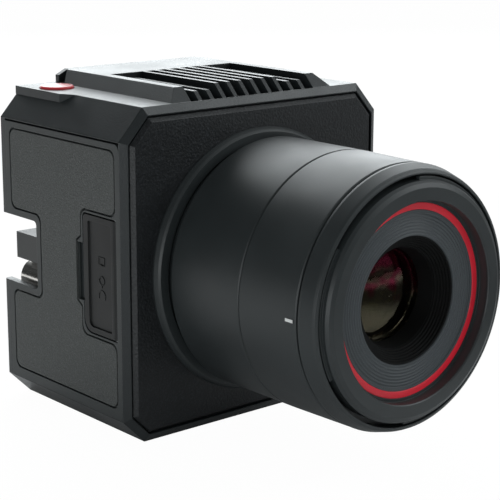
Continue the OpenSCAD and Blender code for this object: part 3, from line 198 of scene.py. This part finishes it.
plasticLook = {  # grain and depth of the grain in mm; speckle is how much paler its peaks are
    "housing": {"colour": rgb(0.013, 0.016, 0.017), "roughness": 0.36, "grain": 0.45, "depth": 0.06,
                "speckle": 1.5},
    "cover": {"colour": rgb(0.007, 0.008, 0.009), "roughness": 0.46, "grain": 0.62, "depth": 0.11,
              "speckle": 2.6, "pebbles": 0.8},
    "panel": {"colour": rgb(0.024, 0.028, 0.028), "roughness": 0.42, "grain": 0.3, "depth": 0.010},
    "inset": {"colour": rgb(0.050, 0.053, 0.051), "roughness": 0.54, "grain": 0.50, "depth": 0.22,
              "speckle": 2.0},
    "flap": {"colour": rgb(0.0035, 0.004, 0.004), "roughness": 0.50, "grain": 0.3, "depth": 0.015},
    "rear": {"colour": rgb(0.020, 0.022, 0.023), "roughness": 0.48, "grain": 0.3, "depth": 0.015},
    "button": {"colour": rgb(0.05, 0.05, 0.052), "roughness": 0.4, "grain": 0.3, "depth": 0.01},
    "barrel": {"colour": rgb(0.022, 0.026, 0.027), "roughness": 0.42, "grain": 0.2, "depth": 0.006},
    "focus": {"colour": rgb(0.023, 0.027, 0.028), "roughness": 0.42, "grain": 0.2, "depth": 0.006},
    "inside": {"colour": rgb(0.0015, 0.0015, 0.0015), "roughness": 0.85, "grain": 0.3, "depth": 0.01},
    "fan": {"colour": rgb(0.018, 0.018, 0.018), "roughness": 0.5, "grain": 0.4, "depth": 0.01},
    "socket_dark": {"colour": rgb(0.030, 0.032, 0.032), "roughness": 0.45, "grain": 0.4, "depth": 0.01},
    "chip": {"colour": rgb(0.02, 0.02, 0.021), "roughness": 0.6, "grain": 0.3, "depth": 0.01},
    "board": {"colour": rgb(0.01, 0.07, 0.035), "roughness": 0.35, "grain": 0.5, "depth": 0.01},
    "flex": {"colour": rgb(0.5, 0.22, 0.04), "roughness": 0.3, "grain": 0.5, "depth": 0.005},
    "red_button": {"colour": rgb(0.62, 0.04, 0.05), "roughness": 0.24, "grain": 0.5, "depth": 0.006},
    "red_trim": {"colour": rgb(0.66, 0.012, 0.030), "roughness": 0.42, "grain": 0.5, "depth": 0.004},
}

plasticWear = {  # what all plastics share
    "patch": 14 * mm,  # width of their paler patches
    "patchEdge": (0.3, 0.7),
    "patchPaler": 1.18,
    "patchRougher": 0.06,
    "speckleSize": 0.6,  # share of the grain's size
    "speckleEdge": (0.50, 0.72),
    "pebbleGrain": 0.6,  # fine grain left on a pebbled face
    "edge": 0.25 * mm,
}


def plasticFinish(name, look):
    shader = Shader(name)
    size = look["grain"] * mm
    deep = look["colour"]
    patches = shader.noise(plasticWear["patch"]).ramp(*plasticWear["patchEdge"])
    colour = shader.mixColour(patches, deep, brighter(deep, plasticWear["patchPaler"]))
    if "speckle" in look:
        specks = shader.noise(size * plasticWear["speckleSize"], detail=1.0)
        specks = specks.ramp(*plasticWear["speckleEdge"])
        colour = shader.mixColour(specks, colour, brighter(deep, look["speckle"]))
    grain = shader.noise(size, detail=3.0, roughness=0.6)
    if "pebbles" in look:
        grain = shader.cells(size) * look["pebbles"] + grain * plasticWear["pebbleGrain"]
    spread = plasticWear["patchRougher"]
    return shader.principled({
        "Base Color": colour,
        "Roughness": patches * spread + (look["roughness"] - spread / 2),
        "Normal": shader.bump(grain, look["depth"] * mm, plasticWear["edge"]),
    })


baffleLook = {  # grey on the stepped ring, black in the cone behind its lip
    "colour": rgb(0.066, 0.073, 0.078),
    "inner": rgb(0.0015, 0.0015, 0.0015),
    "lip": 0.75 * mm,  # from the front face to the middle of the change
    "change": 0.2 * mm,
    "roughness": 0.38,
    "innerRougher": 0.25,
    "dust": 0.25 * mm,
    "dustRougher": 0.1,
    "depth": 0.01 * mm,
    "edge": 0.1 * mm,
    "specular": 0.2,
}


def baffleFinish(look):
    shader = Shader("baffle")
    x, depth, z = shader.axes()
    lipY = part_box("front_baffle")[0].y + look["lip"]
    inside = depth.ramp(lipY - look["change"] / 2, lipY + look["change"] / 2)
    dust = shader.noise(look["dust"], detail=3.0)
    return shader.principled({
        "Base Color": shader.mixColour(inside, look["colour"], look["inner"]),
        "Roughness": dust * look["dustRougher"] + look["roughness"] + inside * look["innerRougher"],
        "Specular IOR Level": look["specular"],
        "Normal": shader.bump(dust, look["depth"], look["edge"]),
    })


metalLook = {
    "alloy": {"colour": rgb(0.62, 0.63, 0.64), "roughness": 0.35},
    "anodised": {"colour": rgb(0.16, 0.16, 0.17), "roughness": 0.45},
    "steel": {"colour": rgb(0.5, 0.5, 0.51), "roughness": 0.3},
    "nickel": {"colour": rgb(0.78, 0.76, 0.72), "roughness": 0.16},
}

metalWear = {"streak": 0.6 * mm, "rougher": 0.12, "depth": 0.003 * mm, "edge": 0.15 * mm}


def metalFinish(name, look):
    shader = Shader(name)
    streaks = shader.noise(metalWear["streak"], detail=4.0)
    spread = metalWear["rougher"]
    return shader.principled({
        "Base Color": look["colour"],
        "Metallic": 1.0,
        "Roughness": streaks * spread + (look["roughness"] - spread / 2),
        "Normal": shader.bump(streaks, metalWear["depth"], metalWear["edge"]),
    })


glassLook = {  # painted reflection colours, low and high in the glass, share mirrored, share held back
    "front_element": {
        "lower": rgb(0.13, 0.115, 0.08), "upper": rgb(0.20, 0.02, 0.05), "mirror": 0.3, "body": 0.4,
    },
    "second_element": {
        "lower": rgb(0.22, 0.22, 0.10), "upper": rgb(0.95, 0.05, 0.18), "mirror": 0.0, "body": 0.7,
    },
    "focus_lens": {
        "lower": rgb(0.80, 0.30, 0.06), "upper": rgb(0.12, 0.45, 0.22), "mirror": 0.0, "body": 1.0,
    },
    "rear_element": {
        "lower": rgb(0.05, 0.06, 0.08), "upper": rgb(0.05, 0.05, 0.06), "mirror": 1.0, "body": 0.3,
    },
}

glassCoatAndPaintedReflection = {
    "smear": 6 * mm,
    "smearEdge": (0.35, 0.65),
    "smearRougher": 0.02,
    "roughness": 0.02,
    "rise": 0.8,  # how much the height in the glass sets the painted reflection colour
    "paintedReflectionWaver": 0.5,  # how much a smear sets the painted reflection colour
    "change": (0.30, 0.60),
    "refraction": 1.5,
    "edge": 1.0 * mm,
}


def glassPaintedReflectionFinish(name, look):
    shader = Shader(name)
    low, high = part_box(name)
    radius = (high.z - low.z) / 2
    x, y, z = shader.axes()
    height = (z - (low.z + radius)) / radius  # 1 at the top of the glass
    smears = shader.noise(glassCoatAndPaintedReflection["smear"]).ramp(*glassCoatAndPaintedReflection["smearEdge"])
    # The coating's tint is real; one colour high in the glass and another low is painted reflection.
    upper = (height * glassCoatAndPaintedReflection["rise"] + smears * glassCoatAndPaintedReflection["paintedReflectionWaver"]).ramp(*glassCoatAndPaintedReflection["change"])
    share = look["body"]
    if look["mirror"]:
        fresnel = shader.add("ShaderNodeFresnel", {}, {"IOR": glassCoatAndPaintedReflection["refraction"]})
        share = (fresnel * look["mirror"] + look["body"]).clipped()
    return shader.principled({
        "Base Color": shader.mixColour(upper, look["lower"], look["upper"]),
        "Metallic": 1.0,
        "Roughness": smears * glassCoatAndPaintedReflection["smearRougher"] + glassCoatAndPaintedReflection["roughness"],
        "Normal": shader.softEdges(glassCoatAndPaintedReflection["edge"]),
        "Alpha": share,
    })


screenLook = {
    "colour": rgb(0.006, 0.006, 0.008),
    "smear": 6 * mm,
    "smearRougher": 0.05,
    "roughness": 0.04,
    "coatRoughness": 0.03,
}


def screenFinish(look):
    shader = Shader("screen_glass")
    smears = shader.noise(look["smear"])
    return shader.principled({
        "Base Color": look["colour"],
        "Roughness": smears * look["smearRougher"] + look["roughness"],
        "Coat Weight": 1.0,
        "Coat Roughness": look["coatRoughness"],
    })


finishes = {name: plasticFinish(name, look) for name, look in plasticLook.items()}
finishes.update({name: metalFinish(name, look) for name, look in metalLook.items()})
finishes["baffle"] = baffleFinish(baffleLook)
finishes["screen_glass"] = screenFinish(screenLook)
blackInside = ("optics_barrel", "aperture_stop", "focus_cell", "lens_mount")  # seen through the glass


def nodeFinish(name, slotName):
    if name in glassLook:
        return glassPaintedReflectionFinish(name, glassLook[name])
    if name in blackInside:
        return finishes["inside"]
    return finishes[slotName]


def dressNodes():
    for row in frame["record"]["subparts"]:
        piece = nodes[row["node"]]
        look = nodeFinish(row["node"], row["material_slot"])
        if not piece.material_slots:
            piece.data.materials.append(look)
        for slot in piece.material_slots:
            slot.material = look


dressNodes()
print("finishes set:", len(finishes) + len(glassLook))


def makePiece(name, points, faces, finish, body):
    mesh = bpy.data.meshes.new(name)
    mesh.from_pydata([tuple(p) for p in points], [], faces)
    mesh.validate()
    mesh.materials.append(finish)
    piece = bpy.data.objects.new(name, mesh)
    scene.collection.objects.link(piece)
    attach(piece, body)


indexMark = {  # white line on the focus ring
    "angle": 180.0,  # degrees round the lens, from +X
    "width": 0.75 * mm,
    "front": 49.5 * mm,  # its ends, ahead of the front cover
    "back": 47.0 * mm,
    "height": 0.03 * mm,
    "sunk": 0.05 * mm,
    "steps": 4,  # faces across its curve
    "paint": rgb(0.8, 0.8, 0.78),
    "roughness": 0.4,
    "wear": 0.5 * mm,
    "wearRougher": 0.1,
}


def paintFinish(mark):
    shader = Shader("mark_paint")
    wear = shader.noise(mark["wear"])
    return shader.principled({
        "Base Color": mark["paint"],
        "Roughness": wear * mark["wearRougher"] + mark["roughness"],
    })


def makeIndexMark(mark):
    low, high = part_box("focus_ring")
    axis = (low + high) / 2
    radius = (high.x - low.x) / 2
    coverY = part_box("front_cover")[0].y
    points, faces = [], []
    halfTurn = mark["width"] / radius / 2
    steps = mark["steps"]
    for y in (coverY - mark["front"], coverY - mark["back"]):
        for level in (-mark["sunk"], mark["height"]):
            for i in range(steps + 1):
                angle = math.radians(mark["angle"]) + halfTurn * (2 * i / steps - 1)
                reach = radius + level
                points.append((axis.x + reach * math.cos(angle), y, axis.z + reach * math.sin(angle)))
    row = steps + 1  # rows of points: front low, front high, back low, back high
    for i in range(steps):
        faces.append([row + i, row + i + 1, 3 * row + i + 1, 3 * row + i])
        faces.append([i, i + 1, row + i + 1, row + i])
        faces.append([2 * row + i, 3 * row + i, 3 * row + i + 1, 2 * row + i + 1])
    faces.append([0, row, 3 * row, 2 * row])
    faces.append([row - 1, 3 * row - 1, 4 * row - 1, 2 * row - 1])
    makePiece("index_mark", points, faces, paintFinish(mark), "focus_ring")


makeIndexMark(indexMark)
print("index mark made")


portIcons = {  # three plain pictures for the sockets under the cover
    "dish": 0.40 * mm,  # how deep the cover's middle lies
    "sunk": 0.02 * mm,
    "rise": 0.12 * mm,
    "line": 0.36 * mm,
    "aside": -0.25 * mm,  # from the cover's middle line
    "step": 15,  # degrees from point to point of a round line
    "screen": {"up": 4.0 * mm, "wide": 2.4 * mm, "high": 1.9 * mm},
    "microphone": {"up": -1.0 * mm, "radius": 1.05 * mm, "stand": 0.84 * mm},
    "headphones": {"up": -5.0 * mm, "radius": 1.4 * mm, "ends": (-30, 210)},
}


def makeStroke(name, path, look):  # a raised line on the port cover along (y, z) points
    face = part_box("port_cover")[0].x + look["dish"]
    points, faces = [], []
    for i, (y, z) in enumerate(path):
        before = path[max(i - 1, 0)]
        after = path[min(i + 1, len(path) - 1)]
        run = Vector((after[0] - before[0], after[1] - before[1])).normalized() * look["line"] / 2
        for x in (face + look["sunk"], face - look["rise"]):  # four points at each place
            points.append((x, y - run.y, z + run.x))
            points.append((x, y + run.y, z - run.x))
    for i in range(len(path) - 1):
        a, b = 4 * i, 4 * i + 4
        for first, second in ((0, 2), (2, 3), (3, 1), (1, 0)):
            faces.append([a + first, a + second, b + second, b + first])
    end = 4 * (len(path) - 1)
    faces.append([0, 1, 3, 2])
    faces.append([end, end + 2, end + 3, end + 1])
    makePiece(name, points, faces, finishes["flap"], "port_cover")


def roundPath(y, z, radius, first, last, step):
    turn = [math.radians(angle) for angle in range(first, last + 1, step)]
    return [(y + radius * math.cos(a), z + radius * math.sin(a)) for a in turn]


def makePortIcons(look):
    low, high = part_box("port_cover")
    middle = (low + high) / 2
    y = middle.y + look["aside"]
    step = look["step"]

    screen = look["screen"]
    z = middle.z + screen["up"]
    corners = [(-1, -1), (1, -1), (1, 1), (-1, 1), (-1, -1), (0, -1)]  # laps over its start
    path = [(y + a * screen["wide"] / 2, z + b * screen["high"] / 2) for a, b in corners]
    makeStroke("screen_icon", path, look)

    microphone = look["microphone"]
    z = middle.z + microphone["up"]
    foot = z - microphone["radius"]
    path = roundPath(y, z, microphone["radius"], 0, 360 + step, step)
    makeStroke("microphone_icon", path, look)
    makeStroke("microphone_icon_stand", [(y, foot), (y, foot - microphone["stand"])], look)

    headphones = look["headphones"]
    z = middle.z + headphones["up"]
    path = roundPath(y, z, headphones["radius"], *headphones["ends"], step)
    makeStroke("headphones_icon", path, look)


makePortIcons(portIcons)
print("port icons made")


studio = {
    "tint": rgb(0.93, 0.98, 1.0),
    "ambient": 0.40,  # soft light from all sides
    "dim": 0.03,  # what gloss mirrors in front of the object
    "behindX": (-0.55, 0.30),  # where the white behind the object starts in mirrors
    "behindY": (-0.1, 0.35),
    "behindTop": (0.22, 0.46),  # and where it ends
    "sky": 0.60,  # soft light above the right side, seen in mirrors
    "skyX": (-0.35, 0.35),
    "skyZ": (0.1, 0.6),
    "skyInGlass": 0.15,
    "windowEdge": 0.010,
    "windows": [  # soft boxes seen only through the glass: direction, spread and level
        {"toward": (0.25, -0.92, 0.30), "spread": 0.970, "level": 6.0},
        {"toward": (0.75, -0.65, 0.05), "spread": 0.990, "level": 4.0},
        {"toward": (-0.30, -0.90, 0.05), "spread": 0.985, "level": 2.0},
    ],
    "lampAim": (0, 0, 45 * mm),
    "lamps": {
        "key": {"place": (0.40, 0.62, 0.52), "size": (0.8, 0.8), "power": 7.0},
        "low": {"place": (-0.45, -0.35, 0.04), "size": (0.4, 0.1), "power": 0.7},
        "front": {"place": (0.40, -0.30, 0.34), "size": (0.3, 0.3), "power": 1.0},
    },
}


def addLamp(name, look):
    data = bpy.data.lights.new(name, "AREA")
    data.shape = "RECTANGLE"
    data.size, data.size_y = look["size"]
    data.energy = look["power"]
    data.color = studio["tint"][:3]
    lamp = bpy.data.objects.new(name, data)
    lamp.location = look["place"]
    lamp.visible_transmission = False  # keeps the inside of the lens dark
    aim = Vector(studio["lampAim"]) - lamp.location
    lamp.rotation_euler = aim.to_track_quat("-Z", "Y").to_euler()
    scene.collection.objects.link(lamp)


def seenRays(path):  # rays that the camera sees directly, and those that it sees in a mirror
    through = path["Is Transmission Ray"]
    straight = (path["Diffuse Depth"] + path["Glossy Depth"]).below(1)
    direct = (path["Is Camera Ray"] + through * straight).clipped()
    mirrored = (path["Is Glossy Ray"] + through * (1 - straight)) * path["Diffuse Depth"].below(1)
    return direct, mirrored


def makeWorld(look):
    world = bpy.data.worlds.new("studio")
    scene.world = world
    shader = Shader("studio", world)
    path = shader.outputs("ShaderNodeLightPath")
    direct, mirrored = seenRays(path)
    inGlass = path["Transparent Depth"].above(0)
    x, y, z = shader.axes("Generated")
    behind = y.ramp(*look["behindY"]) * x.ramp(*look["behindX"]) * (1 - z.ramp(*look["behindTop"]))
    sky = x.ramp(*look["skyX"]) * z.ramp(*look["skyZ"]) * look["sky"]
    skyShare = 1 - (1 - look["skyInGlass"]) * inGlass
    mirror = behind * (1 - look["dim"]) + sky * skyShare + look["dim"]
    for window in look["windows"]:
        east, north, up = Vector(window["toward"]).normalized()
        low, high = window["spread"] - look["windowEdge"], window["spread"] + look["windowEdge"]
        box = (x * east + y * north + z * up).ramp(low, high)
        mirror = mirror + inGlass * box * window["level"]
    strength = direct + (1 - direct) * (mirrored * mirror + (1 - mirrored) * look["ambient"])
    colour = shader.mixColour(direct, look["tint"], rgb(1, 1, 1))
    shader.finish(shader.add("ShaderNodeBackground", {}, {"Color": colour, "Strength": strength}))


floorLook = {
    "size": 1.5,
    "pale": 0.8,
    "dark": 0.04,  # of a patch in front that only mirrors show, so that the lens stays deep
    "diagonal": 0.7,
    "darkStart": (0.09, 0.16),  # metres from the object's middle, towards the front right
    "darkEnd": (0.24, 0.44),
    "glow": 1.02,
    "glowShare": 0.96,  # the rest is matt and takes the object's shadow
    "gloss": 0.50,  # how bright the floor behind the object looks in mirrors
    "glossStart": (0.02, 0.16),
    "glossLeast": 0.04,
}


def floorFinish(look):
    shader = Shader("floor")
    direct, mirrored = seenRays(shader.outputs("ShaderNodeLightPath"))
    x, y, z = shader.axes()
    away = x * look["diagonal"] - y * look["diagonal"]
    patch = away.ramp(*look["darkStart"]) * (1 - away.ramp(*look["darkEnd"]))
    pale, dark = (shader.add("ShaderNodeBsdfDiffuse", {}, {"Color": rgb(level, level, level)})
                  for level in (look["pale"], look["dark"]))
    matt = shader.add("ShaderNodeMixShader", {}, [mirrored * patch, pale, dark])
    glow = shader.add("ShaderNodeEmission", {}, {"Color": rgb(1, 1, 1), "Strength": look["glow"]})
    gloss = y.ramp(*look["glossStart"]) * look["gloss"] + look["glossLeast"]
    share = direct * look["glowShare"] + mirrored * gloss
    return shader.finish(shader.add("ShaderNodeMixShader", {}, [share, matt, glow]))


def makeFloor(look):
    size = look["size"]
    corners = [(-size, -size, 0), (size, -size, 0), (size, size, 0), (-size, size, 0)]
    mesh = bpy.data.meshes.new("floor")
    mesh.from_pydata(corners, [], [[0, 1, 2, 3]])
    mesh.materials.append(floorFinish(look))
    floor = bpy.data.objects.new("floor", mesh)
    scene.collection.objects.link(floor)


makeWorld(studio)
makeFloor(floorLook)
for name, look in studio["lamps"].items():
    addLamp(name, look)
scene.view_settings.view_transform = "Standard"
print("studio lit")
